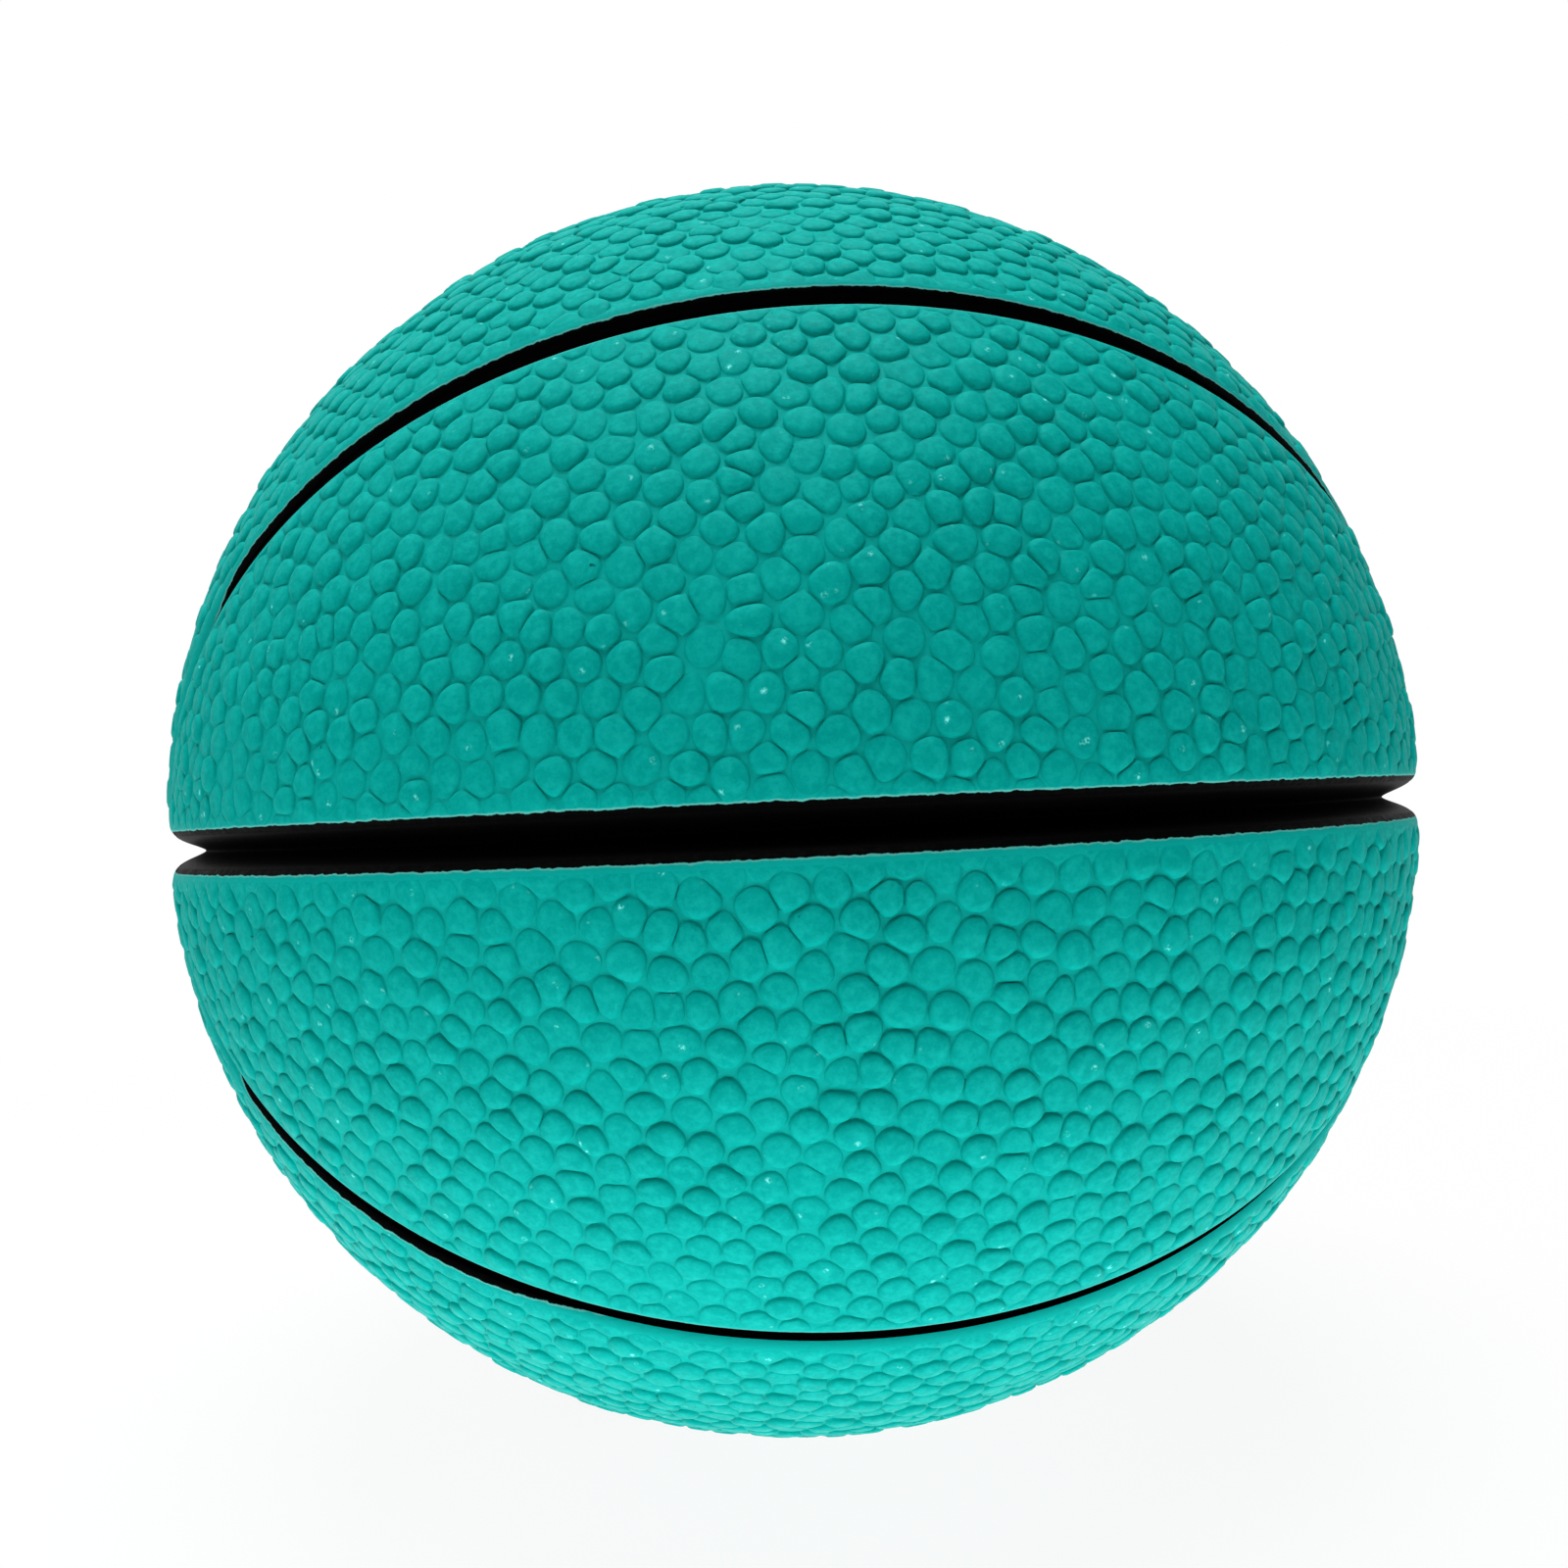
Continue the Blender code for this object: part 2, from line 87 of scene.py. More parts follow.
NEEDLE_FUNNEL_RADIUS = 1.6 * MM
NEEDLE_FUNNEL_DEPTH = 0.8 * MM

# Rounded edges of the valve, and the gap round it
VALVE_RIM_GAP = 0.15 * MM
VALVE_BEAD = 0.15 * MM
VALVE_FILLET = 0.3 * MM
VALVE_FLANGE_DROP = 0.9 * MM

# Pebbles: rounded lumps over the cells round scattered points, with flat valleys between them
PEBBLE_PITCH = 2.78 * MM
PEBBLE_HEIGHT = 0.33 * MM
PEBBLE_SCATTER = 0.22
PEBBLE_EVENINGS = 7
PEBBLE_ROUNDNESS = 4.0
PEBBLE_FOOT = (0.98, 1.05)
PEBBLE_SIDE = (0.94, 1.05)
PEBBLE_TALLNESS = (0.42, 1.4)
DOME_FLATNESS = 5.2
DOME_STEEPNESS = 0.6
DOME_RINGS = (1.0, 0.95, 0.86, 0.62)
DOME_REACHES = (0.97, 0.92, 0.81, 0.55)
FULL_PEBBLE = 0.8 * MM
PEBBLE_FADE = 1.3 * MM
RIM_DEPTH = 0.08 * MM
SEED = 11

# Linear colours
TEAL_DEEP = (0.0003, 0.318, 0.282, 1.0)
TEAL_LIGHT = (0.0006, 0.355, 0.314, 1.0)
# Pale teal: patches of it on the pebble tops, and painted light in the valleys between the pebbles
TEAL_PALE_TOPS_AND_VALLEY_LIGHT = (0.008, 0.5, 0.442, 1.0)
# Painted glints
TEAL_GLINT = (0.22, 1.0, 0.95, 1.0)
TEAL_SPECK = (0.001, 0.1, 0.09, 1.0)
# Painted highlight along the black paint's border
TEAL_EDGE_HIGHLIGHT = (0.1, 0.48, 0.43, 1.0)
BLACK = (0.0006, 0.0006, 0.0006, 1.0)
CHARCOAL = (0.03, 0.03, 0.032, 1.0)
BUTYL_GREY = (0.02, 0.02, 0.022, 1.0)
# Yarn: painted shade in the hollows between its strands, and the strands' own colour
YARN_HOLLOW_SHADE = (0.3, 0.28, 0.23, 1.0)
YARN_LIGHT = (0.68, 0.65, 0.58, 1.0)
WHITE = (1.0, 1.0, 1.0, 1.0)

# Noises in the rubbers: the size of their lumps, their detail and their roughness
BLOTCH_NOISE = (7.0 * MM, 2.0, 0.5)
MOTTLE_NOISE = (0.3 * MM, 2.0, 0.5)
PALE_TOP_NOISE = (0.8 * MM, 4.0, 0.7)
BREAK_NOISE = (0.25 * MM, 2.0, 0.5)
SPECK_NOISE = (0.85 * MM, 1.0, 0.5)
RAGGED_NOISE = (0.9 * MM, 4.0, 0.6)
LUMP_NOISE = (0.7 * MM, 2.0, 0.5)
SHINE_NOISE = (0.45 * MM, 2.0, 0.5)
CLOUD_NOISE = (2.5 * MM, 3.0, 0.5)
GRAIN_DETAIL = (3.0, 0.6)
SKIN_GRAIN = 0.16 * MM

# Ranges over which an effect comes in: of a pebble's rise, of a noise or of the distance from a glint
TOP_RANGE = (0.4, 0.9)
VALLEY_LIGHT_RANGE = (0.0, 0.15)
BLOTCH_RANGE = (0.75, 1.25)
PALE_TOP_RANGE = (0.42, 0.66)
GLINT_RANGE = (0.015, 0.13)
BREAK_RANGE = (0.45, 0.6)
SPECK_RANGE = (0.82, 0.86)
RAGGED_RANGE = (0.2, 0.8)
MIDDLE_RANGE = (0.3, 0.7)

# Cover rubber: the most paleness in patches on the pebble tops, the most painted light in the valleys,
# the spacing of its painted glints, its fine relief and sheen
PALE_TOP_SHARE = 0.55
VALLEY_LIGHT_SHARE = 0.3
GLINT_SPACING = 2.4 * MM
SKIN_GRAIN_SHARE = 0.35
SKIN_RELIEF = 0.05 * MM
COVER_ROUGHNESS = (0.62, 0.4)
COVER_GLOSS = 0.012

# Black paint on the lips: its border's distance from the channel's middle and the border's own measures,
# and the width of a painted highlight just outside the border
PAINT_HALF = 1.9 * MM
PAINT_RAGGED = 0.12 * MM
PAINT_EDGE = 0.05 * MM
EDGE_HIGHLIGHT_WIDTH = 0.06 * MM

# Black rubbers: their colour, roughness and size of grain, and what they have in common
CHANNEL_RUBBER = (BLACK, 0.5, 0.25 * MM)
VALVE_RUBBER = (BLACK, 0.45, 0.3 * MM)
CORE_RUBBER = (CHARCOAL, 0.42, 0.25 * MM)
CARCASS_RUBBER = (CHARCOAL, 0.7, 0.8 * MM)
BLADDER_RUBBER = (BUTYL_GREY, 0.5, 1.5 * MM)
RUBBER_GLOSS = 0.02
CLOUD_PALENESS = 1.6
ROUGHNESS_SPREAD = 0.06
GRAIN_RELIEF = 0.125

# Yarn: turns of its crossing windings, and their waves
YARN_TURNS = ((0.0, 0.0, 0.0), (1.1, 0.4, 0.0), (0.5, 1.3, 0.8), (2.2, 0.6, 1.7))
YARN_SPACING = 6.0 * MM
YARN_WAVER = 1.5
YARN_DETAIL = 2.0
YARN_DETAIL_SCALE = 0.4
YARN_RANGE = (0.55, 1.0)
YARN_RELIEF = 0.3 * MM
YARN_ROUGHNESS = 0.85

# Photograph: its frame, and the ball's place, size and turn in it
FRAME_PIXELS = 1600
AXIS_COLUMN = 818.6
AXIS_ROW = 890.3
FOCAL_PIXELS = 1392.6
SENSOR = 36.0
CAMERA_CLIP = BALL_RADIUS / 100
CAMERA_DISTANCE = 2.4 * BALL_RADIUS
CAMERA_AZIMUTH = math.radians(-7.329)
CAMERA_ELEVATION = math.radians(0.46)
CAMERA_ROLL = math.radians(-2.615)
CAMERA_PAN = math.radians(0.214)
CAMERA_TILT = math.radians(-2.149)

# Studio, with each lamp's place, target, side and power
FLOOR_SIZE = 6.0
FLOOR_COLOUR = (0.9, 0.9, 0.9, 1.0)
FLOOR_ROUGHNESS = 0.9
FLOOR_SHADE = 0.08
SHADE_REACH = (0.1, 0.35)
FLAG_SIZE = 3.0
FLAG_PLACE = (-0.08, -0.62, 0.0)
FLAG_COLOUR = (0.0, 0.0, 0.0, 1.0)
BALL = (0.0, 0.0, 0.0)
TABLE = 1.0 * MM - BALL_RADIUS
LAMPS = {
    "overhead": ((0.0, -0.1, 0.8), BALL, 0.5, 7.75),
    "overhead_left": ((-0.4, 0.05, 0.6), BALL, 0.5, 1.6),
    "key": ((-0.45, -0.45, 0.55), BALL, 0.35, 0.63),
    "table_glow": ((0.0, 0.0, TABLE), BALL, 0.26, 0.214),
    "table_front": ((0.0, -0.13, TABLE), (0.0, -0.13, 1.0), 0.2, 0.05),
}

# Fineness of the meshes
OUTLINE_STEP = 0.52 * MM
STRIP_STEP = 0.8 * MM
STRIP_COLUMNS = 29
STRIP_CROWDING = 1.4
UNDERSIDE_STEP = 6.0 * MM
LIP_FACETS = 7
LOOP_SAMPLES = 720
FIELD_CHUNK = 20000
SEARCH_STEPS = 30
TURNED_FACETS = 72
FILLET_FACETS = 5
SHARP_ANGLE = math.radians(40.0)

# Fields of the panels' meshes: the distance by which they are painted, and how far up a pebble a point is
PAINT_DISTANCE = "paint_distance"
PEBBLE_RISE = "pebble_rise"

# Directions that no point lies exactly along, from which its sideways is found
SIDE_AID = np.array([1.0, 0.3, 0.2])
EAST_AID = np.array([0.31, 0.52, 0.79])

# What a triangulation covers: the whole outline of its points, or the inside of the edges it is given
WHOLE_OUTLINE = 0
INSIDE_EDGES = 1

CORNER_CENTRE = CORNER_REACH / BALL_RADIUS
FIELD_STEP = CORNER_CENTRE / 100
VALVE_AXIS = np.array([0.0, math.cos(VALVE_ELEVATION), math.sin(VALVE_ELEVATION)])
VALVE_TILT = np.array(Matrix.Rotation(VALVE_ELEVATION - math.pi / 2, 3, "X"))

# inner: within a loop; side and level: the signs of Y and Z; reach, bare and start: as in LIPS;
# valve: with the hole for it
Panel = namedtuple("Panel", "inner side level reach bare start valve")
FRONT_REAR = {"front": -1, "rear": 1}
UPPER_LOWER = {"upper": 1, "lower": -1}


def unit(vectors):
    return vectors / np.linalg.norm(vectors, axis=-1, keepdims=True)


# Channels and panels on the unit sphere


def equator(turn):
    return np.stack([np.cos(turn), np.sin(turn), np.zeros_like(turn)], axis=-1)


def meridian(turn):
    return np.stack([np.cos(turn), np.zeros_like(turn), np.sin(turn)], axis=-1)


def loop_angle(turn):
    """Angle between the rear pole and the looped channel, at a turn about that pole from the equator."""
    return 1 / np.hypot(np.cos(turn) / LOOP_LONG_ANGLE, np.sin(turn) / LOOP_SHORT_ANGLE)


def rear_loop(turn):
    angle = loop_angle(turn)
    return np.stack([np.sin(angle) * np.cos(turn), np.cos(angle), np.sin(angle) * np.sin(turn)], axis=-1)


LOOP_LINE = rear_loop(np.linspace(0.0, 2 * math.pi, LOOP_SAMPLES, endpoint=False))
LOOP_INWARD = unit(np.cross(np.roll(LOOP_LINE, -1, axis=0), np.roll(LOOP_LINE, 1, axis=0)))


def loop_distance(points):
    """Sine of the angle from each point to the nearest stretch of the rear loop, above 0 inside it."""
    distance = np.empty(len(points))
    for start in range(0, len(points), FIELD_CHUNK):
        some = points[start : start + FIELD_CHUNK]
        nearest = np.argmax(some @ LOOP_LINE.T, axis=1)
        distance[start : start + FIELD_CHUNK] = np.sum(some * LOOP_INWARD[nearest], axis=1)
    return distance


def valve_distance(points):
    """Sine distance from the valve's hole, counted so that the hole's lip lies as deep as a channel's."""
    hole = VALVE_STEM_RADIUS + VALVE_RIM_GAP - LIP_TIP
    return np.linalg.norm(np.cross(points, VALVE_AXIS), axis=1) - hole / BALL_RADIUS


def panel_field(points, panel):
    """Sine distance to the panel's edge, rounded off at its corners, level well inside and -1 far outside."""
    points = points * (1.0, panel.side, panel.level)
    within = (points[:, 1] > 0) & (points[:, 2] > 0)
    into_panel = loop_distance(points) * (1 if panel.inner else -1)
    distances = [points[:, 2], into_panel + panel.reach / BALL_RADIUS]
    if not panel.inner:
        distances.append(points[:, 1])
    if panel.valve:
        distances.append(valve_distance(points))
    shortfall = np.clip(CORNER_CENTRE - np.stack(distances), 0, None)
    return np.where(within, CORNER_CENTRE - np.linalg.norm(shortfall, axis=0), -1.0)


def downhill(points, panel):
    """Unit direction, along the sphere, in which the panel's edge comes nearer fastest."""
    side = unit(np.cross(points, unit(SIDE_AID)))
    rise = np.zeros_like(points)
    for way in (side, np.cross(points, side)):
        ahead = panel_field(unit(points + FIELD_STEP * way), panel)
        behind = panel_field(unit(points - FIELD_STEP * way), panel)
        rise += (ahead - behind)[:, None] * way
    return -unit(rise)


def shift_to(points, ways, panel, level):
    """Each point moved along its way until it lies at the given distance from the panel's edge."""
    moved = points
    for _ in range(SEARCH_STEPS):
        moved = unit(moved + (panel_field(moved, panel) - level)[:, None] * ways)
    return moved


# Cells of the pebbles


def even_points(step):
    """Points over the whole unit sphere, about a step apart, on a spiral."""
    count = round(4 * math.pi * BALL_RADIUS**2 / (step**2 * math.sqrt(3) / 2))
    index = np.arange(count) + 0.5
    height = 1 - 2 * index / count
    width = np.sqrt(1 - height**2)
    turn = index * math.pi * (3 - math.sqrt(5))
    return np.stack([width * np.cos(turn), width * np.sin(turn), height], axis=-1)


def sphere_triangles(points):
    """Triangles between neighbouring points. The last point is the pole that the others are viewed from."""
    pole = len(points) - 1
    flat = points[:pole, :2] / (1 + points[:pole, 2:])
    found = delaunay_2d_cdt([Vector(place) for place in flat], [], [], WHOLE_OUTLINE, 0.0)
    triangles = np.array(found[2])
    sides = np.concatenate([triangles[:, [0, 1]], triangles[:, [1, 2]], triangles[:, [2, 0]]])
    known = set(map(tuple, sides))
    outer = [(b, a, pole) for a, b in known if (b, a) not in known]
    return np.concatenate([triangles, np.array(outer)])


def cells_round(points):
    """Corners of the cells round the points, and each cell's corners in turn, as indices."""
    triangles = sphere_triangles(points)
    first, second, third = (points[triangles[:, corner]] for corner in range(3))
    corners = unit(np.cross(second - first, third - first))
    owner = triangles.T.ravel()
    corner = np.tile(np.arange(len(triangles)), 3)
    east = unit(np.cross(points[owner], EAST_AID))
    north = np.cross(points[owner], east)
    turn = np.arctan2(np.sum(corners[corner] * north, axis=1), np.sum(corners[corner] * east, axis=1))
    order = np.lexsort((turn, owner))
    ends = np.cumsum(np.bincount(owner))
    return corners, np.split(corner[order], ends[:-1])


def pebble_cells(random):
    """Cells of about a pebble each, over the whole sphere, in no order that shows."""
    points = even_points(PEBBLE_PITCH)
    scatter = PEBBLE_SCATTER * PEBBLE_PITCH / BALL_RADIUS
    points = unit(points + random.normal(0.0, scatter, points.shape))
    points = np.concatenate([points, [[0.0, 0.0, -1.0]]])
    for _ in range(PEBBLE_EVENINGS):
        corners, cells = cells_round(points)
        points[:-1] = [unit(corners[cell].mean(axis=0)) for cell in cells[:-1]]
    return cells_round(points)


class Ground:
    """A panel's share of the pebble cells, cut off at the rim of its lip.

    points are on the unit sphere. outlines are the cells' edges, anticlockwise, as indices into points, and
    homes are the cells that they come from. rim holds the stretches of the cut edge, from point to point."""

    def __init__(self, panel, corners, cells):
        self.panel = panel
        self.rim_level = panel.start / BALL_RADIUS
        self.corners = corners
        self.points = []
        self.outlines = []
        self.homes = []
        self.rim = []
        self.loose = []
        self.corner_points = {}
        self.side_points = {}
        self.inside = panel_field(corners, panel) > self.rim_level
        self.cuts = self.find_cuts(cells)
        for home, cell in enumerate(cells):
            if self.inside[cell].any():
                self.homes.append(home)
                self.outlines.append(self.outline(list(cell)))
        self.points = np.array(self.points)
        self.settle_rim()

    def add(self, point):
        self.points.append(point)
        return len(self.points) - 1

    def find_cuts(self, cells):
        """For each side that leaves the panel, the point where it crosses the rim."""
        sides = set()
        for cell in cells:
            for a, b in zip(cell, np.roll(cell, -1)):
                if self.inside[a] != self.inside[b]:
                    sides.add((a, b) if self.inside[a] else (b, a))
        sides = sorted(sides)
        near = np.array([self.corners[a] for a, b in sides])
        far = np.array([self.corners[b] for a, b in sides])
        for _ in range(SEARCH_STEPS):
            middle = unit(near + far)
            inside = (panel_field(middle, self.panel) > self.rim_level)[:, None]
            near = np.where(inside, middle, near)
            far = np.where(inside, far, middle)
        return dict(zip(sides, near))

    def corner(self, a):
        if a not in self.corner_points:
            self.corner_points[a] = self.add(self.corners[a])
        return self.corner_points[a]

    def between(self, start, end):
        """New points between two places, about an outline step apart."""
        count = max(1, round(np.linalg.norm(end - start) * BALL_RADIUS / OUTLINE_STEP))
        return [self.add(unit(start + (end - start) * step / count)) for step in range(1, count)]

    def side(self, a, b):
        """Points between two corners inside the panel, in order from a to b."""
        low, high = min(a, b), max(a, b)
        if (low, high) not in self.side_points:
            self.side_points[low, high] = self.between(self.corners[low], self.corners[high])
        found = self.side_points[low, high]
        return found if a == low else found[::-1]

    def cut_side(self, a, b):
        """Points from corner a, inside the panel, to where its side towards b crosses the rim."""
        if (a, b) not in self.side_points:
            crossing = self.cuts[a, b]
            found = self.between(self.corners[a], crossing)
            self.side_points[a, b] = found + [self.add(crossing)]
        return self.side_points[a, b]

    def outline(self, cell):
        while self.inside[cell].any() and not self.inside[cell].all():
            if self.inside[cell[0]] and not self.inside[cell[-1]]:
                break
            cell = cell[1:] + cell[:1]
        outline = []
        for a, b in zip(cell, cell[1:] + cell[:1]):
            if self.inside[a]:
                outline.append(self.corner(a))
                outline += self.side(a, b) if self.inside[b] else self.cut_side(a, b)
            elif self.inside[b]:
                entry = self.cut_side(b, a)[::-1]
                chain = self.between(self.points[outline[-1]], self.points[entry[0]])
                self.loose += chain
                stretch = [outline[-1], *chain, entry[0]]
                self.rim += zip(stretch, stretch[1:])
                outline += chain + entry
        return outline

    def settle_rim(self):
        """Moves the points between the crossings on to the rim itself."""
        ways = downhill(self.points[self.loose], self.panel)
        self.points[self.loose] = shift_to(self.points[self.loose], ways, self.panel, self.rim_level)


# Panel meshes


def dome(share):
    """A pebble's height, from 1 at its middle to 0 at its foot, at a share of the way out."""
    return np.clip(1 - share**DOME_FLATNESS, 0, None) ** DOME_STEEPNESS


def smooth_step(share):
    share = np.clip(share, 0, 1)
    return share * share * (3 - 2 * share)


def side_planes(ground, cells):
    """Unit normals, pointing into the cell, of the planes through the sides of each home cell; padded."""
    most = max(len(cells[home]) for home in ground.homes)
    planes = np.zeros((len(ground.homes), most, 3))
    for row, home in enumerate(ground.homes):
        corners = ground.corners[cells[home]]
        planes[row, : len(corners)] = np.cross(corners, np.roll(corners, -1, axis=0))
    return planes


def pebble_rings(ground, cells, random):
    """Points of the rings up each pebble and of its middle, how far up it they are, and their heights."""
    counts = [len(outline) for outline in ground.outlines]
    owner = np.repeat(np.arange(len(counts)), counts)
    flat = np.concatenate(ground.outlines)
    sums = np.add.reduceat(ground.points[flat], np.cumsum([0] + counts[:-1]))
    middle = unit(sums)
    towards = middle[owner]
    place = ground.points[flat]
    out = place / np.sum(place * towards, axis=1, keepdims=True) - towards

    planes = side_planes(ground, cells)
    room = np.sum(planes * middle[:, None], axis=2)
    room *= random.uniform(*PEBBLE_SIDE, room.shape)
    pull = np.zeros(len(flat))
    for side in range(planes.shape[1]):
        real = room[owner, side] > 0
        share = -np.sum(planes[owner, side] * out, axis=1) / np.where(real, room[owner, side], 1)
        pull += np.where(real, np.clip(share, 0, None), 0) ** PEBBLE_ROUNDNESS
    pull = pull ** (1 / PEBBLE_ROUNDNESS)

    foot = random.uniform(*PEBBLE_FOOT, len(counts))
    tall = random.uniform(*PEBBLE_TALLNESS, len(counts))
    reach = np.minimum.reduceat(np.linalg.norm(out, axis=1), np.cumsum([0] + counts[:-1])) * BALL_RADIUS
    tall = tall * np.clip(reach / FULL_PEBBLE, 0, 1)
    points, rises = [], []
    for ring, limit in zip(DOME_RINGS, DOME_REACHES):
        share = np.minimum(ring * foot[owner] / pull, limit)
        points.append(unit(towards + out * share[:, None]))
        rises.append(dome(share * pull / foot[owner]))
    rises = np.concatenate(rises + [np.ones(len(counts))])
    heights = rises * np.concatenate([np.tile(tall[owner], len(DOME_RINGS)), tall])
    return flat, owner, counts, np.concatenate(points + [middle]), rises, heights


def following(counts):
    """For each place in a run of closed outlines, the place after it."""
    after = np.arange(1, sum(counts) + 1)
    ends = np.cumsum(counts)
    after[ends - 1] = ends - counts
    return after


def pebble_faces(flat, owner, counts, ground_size):
    """Quads up each pebble and triangles round its middle, as indices: ground, then rings, then middles."""
    after = following(counts)
    total = len(flat)
    rings = [flat] + [ground_size + ring * total + np.arange(total) for ring in range(len(DOME_RINGS))]
    quads = [
        np.stack([lower, lower[after], upper[after], upper], axis=1)
        for lower, upper in zip(rings, rings[1:])
    ]
    middles = ground_size + len(DOME_RINGS) * total + owner
    triangles = np.stack([rings[-1], rings[-1][after], middles], axis=1)
    return np.concatenate(quads), triangles


def groove_depth(distance):
    """Depth of the smooth lips and groove at a distance from the channel's middle."""
    return RIM_DEPTH + GROOVE_DEPTH * np.exp(-((distance / GROOVE_SPREAD) ** GROOVE_POWER))


def panel_side(panel):
    """Distance from the channel's middle to the panel's wall, which stands just clear of the lining."""
    return STRIP_HALF + SIDE_GAP + panel.reach


def lip_section(panel):
    """Distance from the channel's middle and radius of each row below the pebbles, from the top down."""
    distances = np.linspace(panel.start, LIP_TIP, LIP_FACETS + 1)[1:]
    rows = list(zip(distances, BALL_RADIUS - groove_depth(distances)))
    rows.append((panel_side(panel), rows[-1][1]))
    rows.append((panel_side(panel), COVER_INNER_RADIUS))
    return rows


def underside(border, stretches, panel):
    """Points inside a panel's lower edge, and triangles over them and the edge, seen from outside.

    The middle of an outer panel lies as high as the valve does."""
    elevation = LOOP_SHORT_ANGLE / 2 if panel.inner else VALVE_ELEVATION
    mirror = np.array([1.0, panel.side, panel.level])
    centre = np.array([0.0, math.cos(elevation), math.sin(elevation)]) * mirror
    east = np.array([1.0, 0.0, 0.0])
    north = np.cross(centre, east)
    lattice = even_points(UNDERSIDE_STEP)
    lattice = lattice[panel_field(lattice, panel) >= CORNER_CENTRE]
    points = np.concatenate([border, lattice])
    depth = 1 + points @ centre
    flat = [Vector(place) for place in zip(points @ east / depth, points @ north / depth)]
    triangles = np.array(delaunay_2d_cdt(flat, stretches, [], INSIDE_EDGES, 0.0)[2])
    if panel.valve:
        middles = unit(points[triangles].mean(axis=1))
        triangles = triangles[valve_distance(middles) > panel_side(panel) / COVER_INNER_RADIUS]
    return lattice, triangles


def new_piece(name, material, points, quads, triangles, fields=None):
    """A mesh object with smooth shading, and with a value for each point in each of the named fields."""
    mesh = bpy.data.meshes.new(name)
    mesh.vertices.add(len(points))
    mesh.vertices.foreach_set("co", np.asarray(points, np.float32).ravel())
    mesh.loops.add(quads.size + triangles.size)
    corners = np.concatenate([quads.ravel(), triangles.ravel()])
    mesh.loops.foreach_set("vertex_index", corners.astype(np.int32))
    starts = np.concatenate([np.arange(len(quads)) * 4, quads.size + np.arange(len(triangles)) * 3])
    mesh.polygons.add(len(starts))
    mesh.polygons.foreach_set("loop_start", starts.astype(np.int32))
    mesh.update(calc_edges=True)
    mesh.shade_smooth()
    mesh.set_sharp_from_angle(angle=SHARP_ANGLE)
    for field, values in (fields or {}).items():
        mesh.attributes.new(field, "FLOAT", "POINT").data.foreach_set("value", values.astype(np.float32))
    mesh.materials.append(material)
    piece = bpy.data.objects.new(name, mesh)
    bpy.context.scene.collection.objects.link(piece)
    return piece


def paint_distance(points, panel):
    """Distance from the channel's middle by which a panel is painted, more where its paint stops short."""
    ways = unit(points)
    painted = np.interp(ways[:, 0], PAINTED_STRETCH[panel.level], (0.0, 1.0, 1.0, 0.0))
    bare = panel.bare if panel.inner else panel.bare * (1 - painted)
    return panel_field(ways, panel._replace(reach=panel.reach + bare)) * BALL_RADIUS


def panel_mesh(panel, corners, cells, random):
    """Points, quads, triangles and fields of a panel with its lip, sides and underside."""
    ground = Ground(panel, corners, cells)
    flat, owner, counts, raised, rises, heights = pebble_rings(ground, cells, random)
    size = len(ground.points)
    quads, triangles = pebble_faces(flat, owner, counts, size)
    surface = np.concatenate([ground.points, raised])
    heights = np.concatenate([np.zeros(size), heights])
    distance = panel_field(surface, panel) * BALL_RADIUS
    fade = smooth_step((distance - panel.start) / PEBBLE_FADE)
    radius = BALL_RADIUS - groove_depth(distance) + (RIM_DEPTH - PEBBLE_HEIGHT * (1 - heights)) * fade

    rim_points, stretches = np.unique(np.array(ground.rim), return_inverse=True)
    stretches = stretches.reshape(-1, 2)
    border = ground.points[rim_points]
    ways = downhill(border, panel)
    section = lip_section(panel)
    rows = [shift_to(border, ways, panel, across / height) for across, height in section]
    first = len(surface)
    indices = [rim_points] + [first + row * len(border) + np.arange(len(border)) for row in range(len(rows))]
    start, end = stretches.T
    lip = [
        np.stack([lower[start], lower[end], upper[end], upper[start]], axis=1)
        for upper, lower in zip(indices, indices[1:])
    ]
    lattice, under = underside(rows[-1], [tuple(map(int, stretch)) for stretch in stretches], panel)
    under = under[:, ::-1] + indices[-1][0]

    points = np.concatenate(
        [surface * radius[:, None]]
        + [row * height for row, (_, height) in zip(rows, section)]
        + [lattice * COVER_INNER_RADIUS]
    )
    rise = np.zeros(len(points))
    rise[size : size + len(rises)] = rises
    fields = {PAINT_DISTANCE: paint_distance(points, panel), PEBBLE_RISE: rise}
    return points, np.concatenate([quads, *lip]), np.concatenate([triangles, under]), fields


# Channel strips


def channel_surface(points):
    """Radius of the channels' lining in each direction, level under the lips."""
    mirrored = points * (1.0, -1.0, 1.0)
    seams = [points[:, 2], points[:, 1], loop_distance(points), loop_distance(mirrored)]
    distance = np.min(np.abs(seams), axis=0) * BALL_RADIUS
    return BALL_RADIUS - STRIP_GAP - groove_depth(np.minimum(distance, LIP_TIP))


def evenly_along(line, step):
    """Points along a dense open line on the unit sphere, about a step apart on the ball."""
    along = np.concatenate([[0.0], np.cumsum(np.linalg.norm(np.diff(line, axis=0), axis=1))])
    marks = np.linspace(0.0, along[-1], round(along[-1] * BALL_RADIUS / step) + 1)
    return unit(np.stack([np.interp(marks, along, line[:, axis]) for axis in range(3)], axis=-1))


